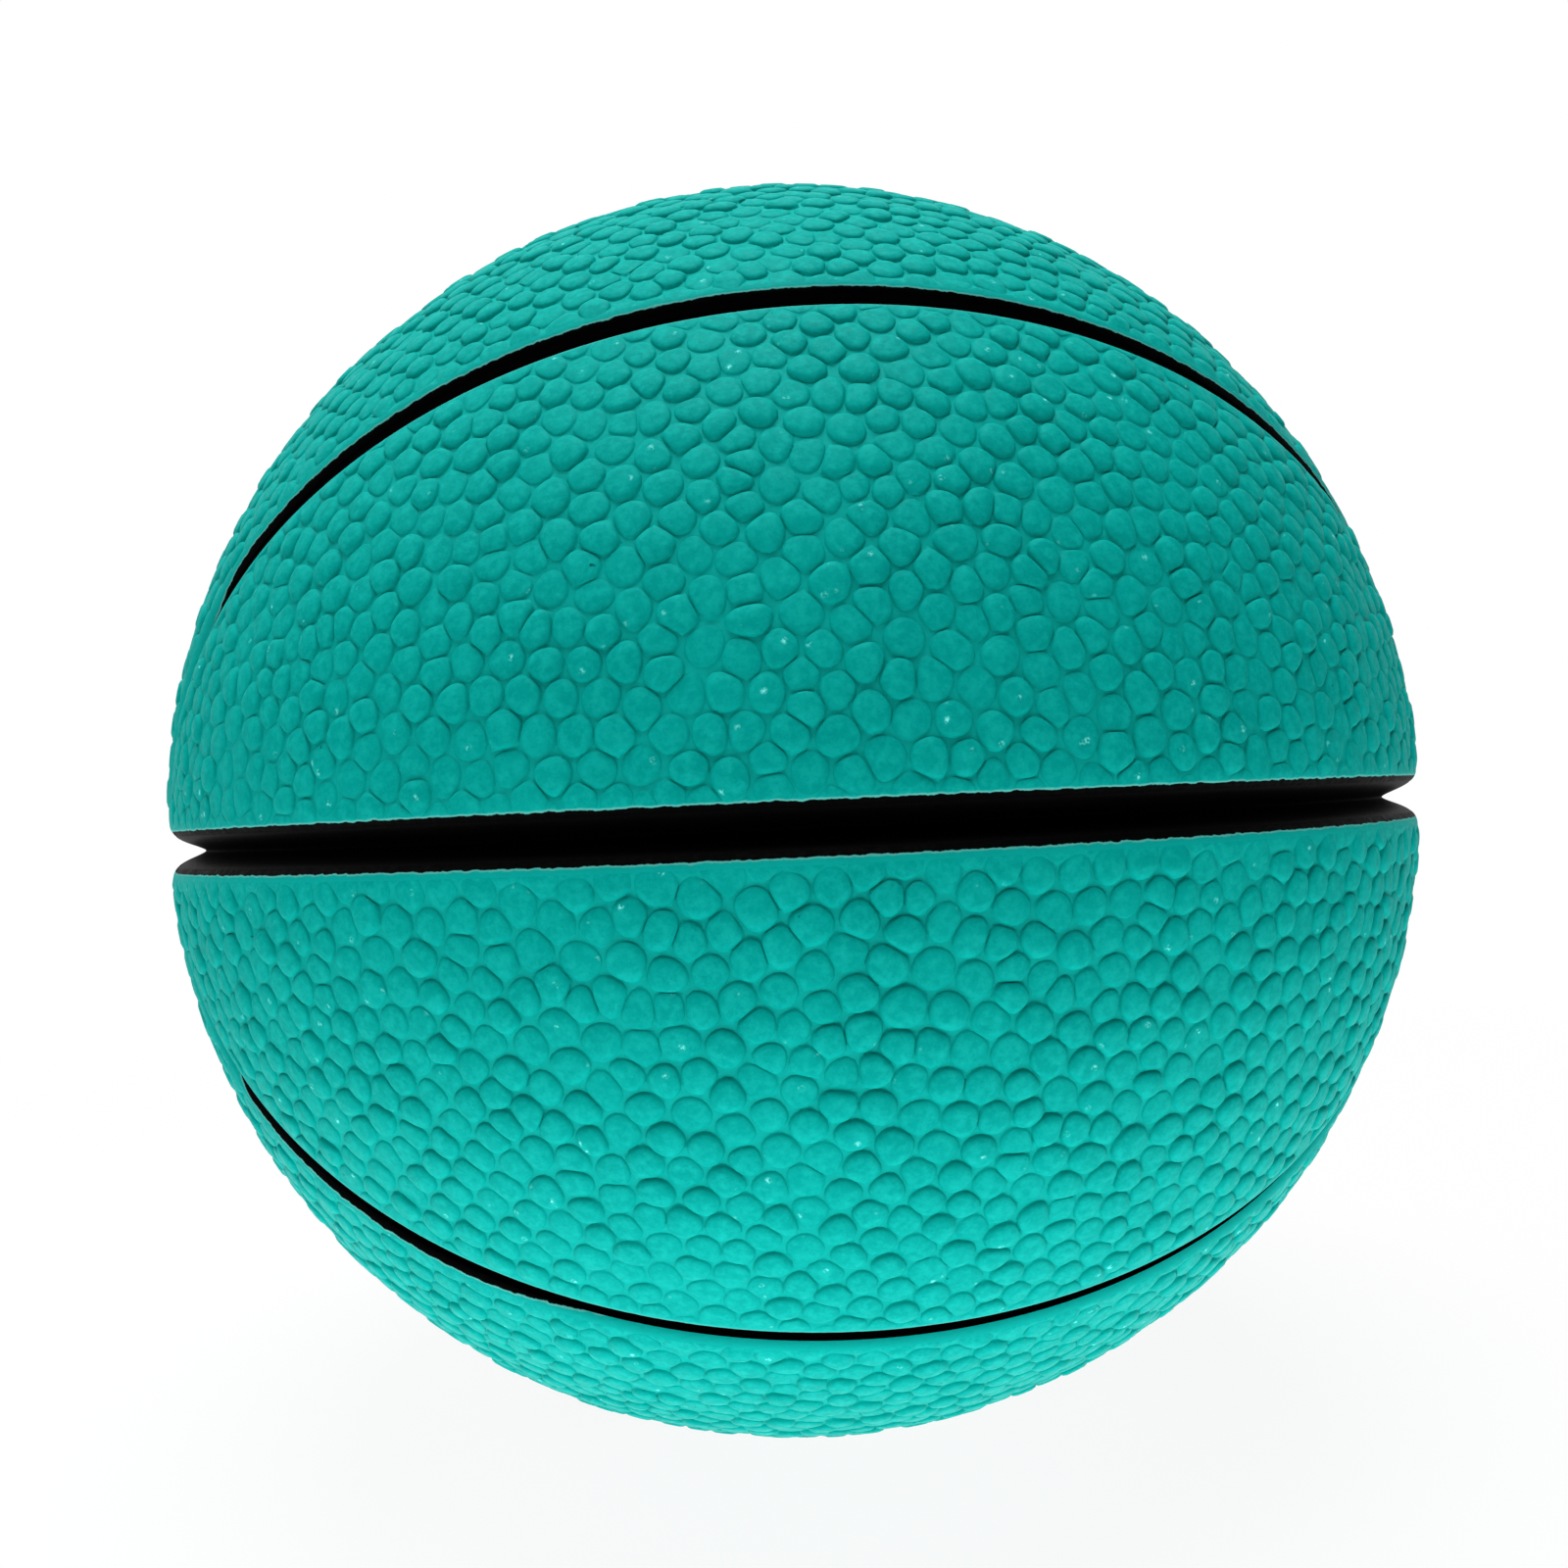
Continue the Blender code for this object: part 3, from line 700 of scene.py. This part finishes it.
def strip_mesh(line, closed):
    """A lining along a line: its surface, outer walls and underside, with ends if it isn't closed."""
    stations = len(line)
    heading = np.roll(line, -1, axis=0) - np.roll(line, 1, axis=0) if closed else np.gradient(line, axis=0)
    across = unit(np.cross(line, heading))
    spread = np.linspace(-1.0, 1.0, STRIP_COLUMNS)
    sines = np.sign(spread) * np.abs(spread) ** STRIP_CROWDING * STRIP_HALF / BALL_RADIUS
    ways = line[:, None] * np.sqrt(1 - sines**2)[:, None] + across[:, None] * sines[:, None]
    upper = ways * channel_surface(ways.reshape(-1, 3)).reshape(stations, -1, 1)
    lower = ways[:, ::-1] * COVER_INNER_RADIUS
    rings = np.concatenate([upper, lower], axis=1)
    if not closed:
        rings[[0, -1], :, 2] = np.sign(line[stations // 2, 2]) * (STRIP_HALF + STRIP_GAP)

    corners = rings.shape[1]
    index = np.arange(stations * corners).reshape(stations, corners)
    after = np.roll(index, -1, axis=0) if closed else index[1:]
    before = index if closed else index[:-1]
    sides = [before, after, np.roll(after, -1, axis=1), np.roll(before, -1, axis=1)]
    quads = [np.stack(sides, axis=-1).reshape(-1, 4)]
    if not closed:
        top = np.arange(STRIP_COLUMNS - 1)
        under = corners - 1 - top
        quads.append(index[0][np.stack([top + 1, under - 1, under, top], axis=1)])
        quads.append(index[-1][np.stack([top, under, under - 1, top + 1], axis=1)])
    return rings.reshape(-1, 3), np.concatenate(quads), np.zeros((0, 3), int)


def half_line(seam):
    """The upper half of a seam's line, cut off where it meets the equator strip."""
    turns = np.linspace(0.0, math.pi, LOOP_SAMPLES)
    heights = seam(turns)[:, 2]
    rising = slice(0, LOOP_SAMPLES // 2)
    start = np.interp((STRIP_HALF + STRIP_GAP) / BALL_RADIUS, heights[rising], turns[rising])
    return evenly_along(seam(np.linspace(start, math.pi - start, LOOP_SAMPLES)), STRIP_STEP)


# Valve


def filleted(profile, size):
    """A profile with the points between its ends rounded off, each by at most a third of its shorter side."""
    profile = np.array(profile)
    points = [profile[0]]
    for before, corner, after in zip(profile, profile[1:], profile[2:]):
        back = before - corner
        ahead = after - corner
        limit = min(size, np.linalg.norm(back) / 3, np.linalg.norm(ahead) / 3)
        start = corner + back / np.linalg.norm(back) * limit
        end = corner + ahead / np.linalg.norm(ahead) * limit
        for share in np.linspace(0.0, 1.0, FILLET_FACETS):
            points.append((1 - share) ** 2 * start + 2 * share * (1 - share) * corner + share**2 * end)
    points.append(profile[-1])
    return points


def turned_piece(name, profile, material):
    """A profile of (distance from the axis, height along it) turned about the valve's axis.

    It ends where it began, or begins and ends on the axis, and it goes clockwise round what is solid."""
    across, along = np.array(profile).T
    turns = np.linspace(0.0, 2 * math.pi, TURNED_FACETS, endpoint=False)
    rings = np.empty((len(profile), TURNED_FACETS, 3))
    rings[..., 0] = np.outer(across, np.cos(turns))
    rings[..., 1] = np.outer(across, np.sin(turns))
    rings[..., 2] = along[:, None]

    index = np.arange(rings.size // 3).reshape(rings.shape[:2])
    if across[-1] > 0:
        index[-1] = index[0]
    else:
        index[[0, -1]] = index[[0, -1], :1]
    used, index = np.unique(index, return_inverse=True)
    index = index.reshape(rings.shape[:2])
    after = np.roll(index, -1, axis=1)
    faces = np.stack([index[:-1], index[1:], after[1:], after[:-1]], axis=-1).reshape(-1, 4)
    first_tip = faces[:, 0] == faces[:, 3]
    last_tip = faces[:, 1] == faces[:, 2]
    triangles = np.concatenate([faces[first_tip][:, [0, 1, 2]], faces[last_tip][:, [0, 1, 3]]])
    points = rings.reshape(-1, 3)[used] @ VALVE_TILT.T
    return new_piece(name, material, points, faces[~(first_tip | last_tip)], triangles)


def housing_profile():
    """Down the outside of the valve's housing and up its bore, back to where it began."""
    shoulder = VALVE_TOP - VALVE_SEAT_DEPTH
    bottom = VALVE_TOP - VALVE_LENGTH
    middle = (VALVE_SEAT_RADIUS + VALVE_STEM_RADIUS) / 2
    rim_top = VALVE_TOP + VALVE_BEAD
    profile = [
        (middle, rim_top),
        (VALVE_STEM_RADIUS, VALVE_TOP),
        (VALVE_STEM_RADIUS, VALVE_FLANGE_TOP),
        (VALVE_FLANGE_RADIUS, VALVE_FLANGE_TOP - VALVE_FLANGE_DROP),
        (VALVE_FLANGE_RADIUS, VALVE_FLANGE_TOP - VALVE_FLANGE_DROP - VALVE_FLANGE_THICKNESS / 2),
        (VALVE_TUBE_RADIUS, VALVE_FLANGE_TOP - VALVE_FLANGE_THICKNESS),
        (VALVE_TUBE_RADIUS, bottom),
        (VALVE_BORE_RADIUS, bottom),
        (VALVE_BORE_RADIUS, shoulder),
        (VALVE_SEAT_RADIUS, shoulder),
        (VALVE_SEAT_RADIUS, VALVE_TOP),
        (middle, rim_top),
    ]
    return filleted(profile, VALVE_FILLET)


def core_profile():
    """From the bottom of the needle hole up over the core's head and down to its tip."""
    top = VALVE_TOP - CORE_RECESS
    seat = top - CORE_HEAD_THICKNESS
    tip = top - CORE_LENGTH
    hole = top - NEEDLE_HOLE_DEPTH
    profile = [
        (0.0, hole),
        (NEEDLE_HOLE_RADIUS, hole + NEEDLE_HOLE_RADIUS),
        (NEEDLE_HOLE_RADIUS, top - NEEDLE_FUNNEL_DEPTH),
        (NEEDLE_FUNNEL_RADIUS, top),
        (CORE_HEAD_RADIUS, top),
        (CORE_HEAD_RADIUS, seat),
        (CORE_RADIUS, seat),
        (CORE_RADIUS, tip),
        (0.0, tip),
    ]
    return filleted(profile, VALVE_FILLET)


# Materials


class Nodes:
    """A material's nodes, added by kind, with their inputs given by name or number."""

    def __init__(self, name):
        self.material = bpy.data.materials.new(name)
        self.material.use_nodes = True
        self.tree = self.material.node_tree
        self.shader = self.tree.nodes["Principled BSDF"]
        self.place = self.add("ShaderNodeTexCoord").outputs["Object"]

    def set(self, node, inputs):
        for name, value in inputs.items():
            if isinstance(value, bpy.types.NodeSocket):
                self.tree.links.new(value, node.inputs[name])
            else:
                node.inputs[name].default_value = value

    def add(self, kind, inputs=None, **settings):
        node = self.tree.nodes.new(kind)
        for name, value in settings.items():
            setattr(node, name, value)
        self.set(node, inputs or {})
        return node

    def field(self, name):
        return self.add("ShaderNodeAttribute", attribute_name=name).outputs["Fac"]

    def math(self, operation, a, b):
        return self.add("ShaderNodeMath", {0: a, 1: b}, operation=operation).outputs[0]

    def noise(self, size, detail, roughness):
        """A noise between 0 and 1 whose lumps are about a size apart."""
        inputs = {"Vector": self.place, "Scale": 1 / size, "Detail": detail, "Roughness": roughness}
        return self.add("ShaderNodeTexNoise", inputs).outputs["Fac"]

    def ramp(self, value, low, high, to_low=0.0, to_high=1.0):
        """A value's place between low and high, carried over to the other two and held within them."""
        inputs = {"Value": value, "From Min": low, "From Max": high, "To Min": to_low, "To Max": to_high}
        return self.add("ShaderNodeMapRange", inputs).outputs["Result"]

    def mix(self, share, a, b):
        """Colour a, with a share of colour b."""
        node = self.add("ShaderNodeMix", {"Factor": share}, data_type="RGBA")
        self.set(node, {6: a, 7: b})
        return node.outputs[2]

    def bump(self, height, distance):
        return self.add("ShaderNodeBump", {"Height": height, "Distance": distance}).outputs["Normal"]


def cover_material():
    """Teal satin rubber with a fine skin grain, black inside the ragged edge of the channel paint."""
    nodes = Nodes("cover_rubber")
    rise = nodes.field(PEBBLE_RISE)
    top = nodes.ramp(rise, *TOP_RANGE)
    blotch = nodes.math("ADD", nodes.noise(*BLOTCH_NOISE), nodes.noise(*MOTTLE_NOISE))
    teal = nodes.mix(nodes.ramp(blotch, *BLOTCH_RANGE), TEAL_DEEP, TEAL_LIGHT)
    # Paler in patches on the pebble tops; painted light in the valleys, lifting the shade of the pebbles'
    # walls
    pale_top = nodes.ramp(nodes.noise(*PALE_TOP_NOISE), *PALE_TOP_RANGE, 0.0, PALE_TOP_SHARE)
    valley_light = nodes.ramp(rise, *VALLEY_LIGHT_RANGE, VALLEY_LIGHT_SHARE, 0.0)
    pale_tops_and_valley_light = nodes.math("MAXIMUM", nodes.math("MULTIPLY", pale_top, top), valley_light)
    teal = nodes.mix(pale_tops_and_valley_light, teal, TEAL_PALE_TOPS_AND_VALLEY_LIGHT)
    # Painted glints: pale spots on some pebble tops, broken up by a noise
    spots = nodes.add("ShaderNodeTexVoronoi", {"Vector": nodes.place, "Scale": 1 / GLINT_SPACING})
    spot = nodes.ramp(spots.outputs["Distance"], *GLINT_RANGE, 1.0, 0.0)
    glint = nodes.math("MULTIPLY", spot, nodes.ramp(nodes.noise(*BREAK_NOISE), *BREAK_RANGE))
    teal = nodes.mix(nodes.math("MULTIPLY", glint, top), teal, TEAL_GLINT)
    teal = nodes.mix(nodes.ramp(nodes.noise(*SPECK_NOISE), *SPECK_RANGE), teal, TEAL_SPECK)

    ragged = nodes.ramp(nodes.noise(*RAGGED_NOISE), *RAGGED_RANGE, -PAINT_RAGGED, PAINT_RAGGED)
    distance = nodes.math("ADD", nodes.field(PAINT_DISTANCE), ragged)
    # A painted highlight in a thin band just outside the black paint's border
    border = nodes.ramp(distance, PAINT_HALF + EDGE_HIGHLIGHT_WIDTH, PAINT_HALF + 2 * EDGE_HIGHLIGHT_WIDTH, 1.0, 0.0)
    painted = nodes.ramp(distance, PAINT_HALF - PAINT_EDGE, PAINT_HALF, 1.0, 0.0)
    colour = nodes.mix(painted, nodes.mix(border, teal, TEAL_EDGE_HIGHLIGHT), BLACK)

    grain = nodes.math("MULTIPLY", nodes.noise(SKIN_GRAIN, *GRAIN_DETAIL), SKIN_GRAIN_SHARE)
    skin = nodes.math("ADD", grain, nodes.noise(*LUMP_NOISE))
    nodes.set(
        nodes.shader,
        {
            "Base Color": colour,
            "Roughness": nodes.ramp(nodes.noise(*SHINE_NOISE), *MIDDLE_RANGE, *COVER_ROUGHNESS),
            "Specular IOR Level": COVER_GLOSS,
            "Normal": nodes.bump(skin, SKIN_RELIEF),
        },
    )
    return nodes.material


def black_rubber(name, colour, roughness, grain):
    """Dark rubber with slightly paler clouds and a fine grain."""
    nodes = Nodes(name)
    paler = (*(CLOUD_PALENESS * part for part in colour[:3]), 1.0)
    cloud = nodes.ramp(nodes.noise(*CLOUD_NOISE), *MIDDLE_RANGE)
    fine = nodes.noise(grain, *GRAIN_DETAIL)
    sheen = (roughness - ROUGHNESS_SPREAD, roughness + ROUGHNESS_SPREAD)
    nodes.set(
        nodes.shader,
        {
            "Base Color": nodes.mix(cloud, colour, paler),
            "Specular IOR Level": RUBBER_GLOSS,
            "Roughness": nodes.ramp(fine, *MIDDLE_RANGE, *sheen),
            "Normal": nodes.bump(fine, grain * GRAIN_RELIEF),
        },
    )
    return nodes.material


def yarn_material():
    """Yarn wound over itself on crossing great circles."""
    nodes = Nodes("winding_yarn")
    top = None
    for turn in YARN_TURNS:
        mapping = nodes.add("ShaderNodeMapping", {"Vector": nodes.place, "Rotation": turn})
        inputs = {
            "Vector": mapping.outputs[0],
            "Scale": 1 / YARN_SPACING,
            "Distortion": YARN_WAVER,
            "Detail": YARN_DETAIL,
            "Detail Scale": YARN_DETAIL_SCALE,
        }
        wave = nodes.add("ShaderNodeTexWave", inputs, wave_profile="SIN", bands_direction="Z").outputs["Fac"]
        top = wave if top is None else nodes.math("MAXIMUM", top, wave)
    # Painted shade: the yarn is darker down in the hollows between its strands, where its relief is low
    nodes.set(
        nodes.shader,
        {
            "Base Color": nodes.mix(nodes.ramp(top, *YARN_RANGE), YARN_HOLLOW_SHADE, YARN_LIGHT),
            "Roughness": YARN_ROUGHNESS,
            "Normal": nodes.bump(top, YARN_RELIEF),
        },
    )
    return nodes.material


# Studio


def background_share(tree):
    """1 where a ray shows the background itself: seen by the camera, in a gloss or through glass."""
    path = tree.nodes.new("ShaderNodeLightPath")
    share = path.outputs["Is Camera Ray"]
    for ray in ("Is Glossy Ray", "Is Transmission Ray"):
        either = tree.nodes.new("ShaderNodeMath")
        either.operation = "MAXIMUM"
        tree.links.new(share, either.inputs[0])
        tree.links.new(path.outputs[ray], either.inputs[1])
        share = either.outputs[0]
    return share


def white_world():
    world = bpy.data.worlds.new("white_studio")
    world.use_nodes = True
    tree = world.node_tree
    background = tree.nodes["Background"]
    background.inputs["Color"].default_value = WHITE
    tree.links.new(background_share(tree), background.inputs["Strength"])
    bpy.context.scene.world = world


def white_floor():
    """A white floor that shows the ball's shadow near it and nothing farther off."""
    bpy.ops.mesh.primitive_plane_add(size=FLOOR_SIZE, location=(0.0, 0.0, -BALL_RADIUS))
    floor = bpy.context.object
    floor.name = "floor"
    nodes = Nodes("floor_white")
    finish = {"Base Color": FLOOR_COLOUR, "Roughness": FLOOR_ROUGHNESS, "Specular IOR Level": 0.0}
    nodes.set(nodes.shader, finish)
    reach = nodes.add("ShaderNodeVectorMath", {0: nodes.place}, operation="LENGTH").outputs["Value"]
    glow = nodes.ramp(reach, *SHADE_REACH, 1.0 - FLOOR_SHADE, 1.0)
    share = nodes.math("MULTIPLY", glow, background_share(nodes.tree))
    white = nodes.add("ShaderNodeEmission", {"Color": WHITE}).outputs[0]
    mixed = nodes.add("ShaderNodeMixShader", {0: share, 1: nodes.shader.outputs[0], 2: white}).outputs[0]
    nodes.set(nodes.tree.nodes["Material Output"], {"Surface": mixed})
    floor.data.materials.append(nodes.material)


def black_flag():
    """A black board behind the camera, which keeps that side dark in what the ball reflects."""
    bpy.ops.mesh.primitive_plane_add(size=FLAG_SIZE, location=FLAG_PLACE, rotation=(math.pi / 2, 0.0, 0.0))
    flag = bpy.context.object
    flag.name = "flag"
    flag.visible_camera = False
    nodes = Nodes("flag_black")
    nodes.set(nodes.shader, {"Base Color": FLAG_COLOUR, "Specular IOR Level": 0.0})
    flag.data.materials.append(nodes.material)


def soft_light(name, place, target, size, power):
    """A square lamp that looks at a target and isn't seen itself."""
    data = bpy.data.lights.new(name, "AREA")
    data.energy = power
    data.size = size
    lamp = bpy.data.objects.new(name, data)
    lamp.location = place
    lamp.rotation_mode = "QUATERNION"
    lamp.rotation_quaternion = (Vector(target) - Vector(place)).to_track_quat("-Z", "Y")
    lamp.visible_camera = False
    bpy.context.scene.collection.objects.link(lamp)


def photo_camera():
    """The photograph's view of the ball, from a frame that was cut off unevenly round its optical axis."""
    azimuth, elevation = CAMERA_AZIMUTH, CAMERA_ELEVATION
    level = math.cos(elevation)
    back = Vector((math.sin(azimuth) * level, -math.cos(azimuth) * level, math.sin(elevation)))
    right = Vector((0.0, 0.0, 1.0)).cross(back).normalized()
    up = back.cross(right)
    axis = (back - CAMERA_PAN * right - CAMERA_TILT * up).normalized()
    right = up.cross(axis).normalized()
    turn = Matrix((right, axis.cross(right), axis)).transposed().to_quaternion()

    data = bpy.data.cameras.new("camera")
    data.sensor_width = SENSOR
    data.lens = FOCAL_PIXELS / FRAME_PIXELS * SENSOR
    data.shift_x = 0.5 - AXIS_COLUMN / FRAME_PIXELS
    data.shift_y = AXIS_ROW / FRAME_PIXELS - 0.5
    data.clip_start = CAMERA_CLIP
    camera = bpy.data.objects.new("camera", data)
    camera.rotation_mode = "QUATERNION"
    camera.rotation_quaternion = Quaternion(axis, CAMERA_ROLL) @ turn
    camera.location = back * CAMERA_DISTANCE
    bpy.context.scene.collection.objects.link(camera)
    bpy.context.scene.camera = camera


# The pieces


def place_piece(piece, node, body="ball"):
    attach(piece, body)
    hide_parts(node)


def build_panels():
    cover = cover_material()
    random = np.random.default_rng(SEED)
    corners, cells = pebble_cells(random)
    for kind in ("eye", "shoulder"):
        for side_name, side in FRONT_REAR.items():
            for level_name, level in UPPER_LOWER.items():
                name = f"{kind}_{side_name}_{level_name}"
                lip = LIPS[f"{kind}_{level_name}"]
                panel = Panel(kind == "eye", side, level, *lip, name == VALVE_PANEL)
                piece = new_piece(f"pebbled_{name}", cover, *panel_mesh(panel, corners, cells, random))
                place_piece(piece, f"{kind}_panel_{side_name}_{level_name}")


def build_strips():
    black = black_rubber("channel_rubber", *CHANNEL_RUBBER)
    turns = np.linspace(0.0, 2 * math.pi, LOOP_SAMPLES + 1)
    ring = evenly_along(equator(turns), STRIP_STEP)[:-1]
    piece = new_piece("channel_equator", black, *strip_mesh(ring, True))
    place_piece(piece, "seam_strip_equator")
    lines = {"meridian": half_line(meridian), "rear": half_line(rear_loop)}
    lines["front"] = lines["rear"] * (1.0, -1.0, 1.0)
    for name, line in lines.items():
        for level_name, level in UPPER_LOWER.items():
            mesh = strip_mesh(line * (1.0, 1.0, level), False)
            piece = new_piece(f"channel_{name}_{level_name}", black, *mesh)
            place_piece(piece, f"seam_strip_{name}_{level_name}")


def build_valve():
    housing = turned_piece("valve_collar", housing_profile(), black_rubber("valve_rubber", *VALVE_RUBBER))
    place_piece(housing, "valve_housing")
    core = turned_piece("valve_plug", core_profile(), black_rubber("core_rubber", *CORE_RUBBER))
    place_piece(core, "valve_core", "core")


def finish_layers(nodes):
    """Gives the layers inside, which stay as in the solids, their materials."""
    finishes = {
        "carcass": black_rubber("carcass_rubber", *CARCASS_RUBBER),
        "winding": yarn_material(),
        "bladder": black_rubber("bladder_butyl", *BLADDER_RUBBER),
    }
    for name, material in finishes.items():
        nodes[name].data.materials.clear()
        nodes[name].data.materials.append(material)


def light_studio():
    white_world()
    white_floor()
    black_flag()
    for name, lamp in LAMPS.items():
        soft_light(name, *lamp)
    bpy.context.scene.view_settings.view_transform = "Standard"


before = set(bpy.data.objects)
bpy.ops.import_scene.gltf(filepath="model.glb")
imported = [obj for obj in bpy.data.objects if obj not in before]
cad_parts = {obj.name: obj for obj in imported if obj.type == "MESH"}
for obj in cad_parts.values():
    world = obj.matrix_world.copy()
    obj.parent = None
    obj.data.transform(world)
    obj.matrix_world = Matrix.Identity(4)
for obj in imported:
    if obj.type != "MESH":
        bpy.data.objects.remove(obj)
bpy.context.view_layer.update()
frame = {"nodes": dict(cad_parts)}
photo_camera()
light_studio()
build_panels()
build_strips()
build_valve()
finish_layers(frame["nodes"])
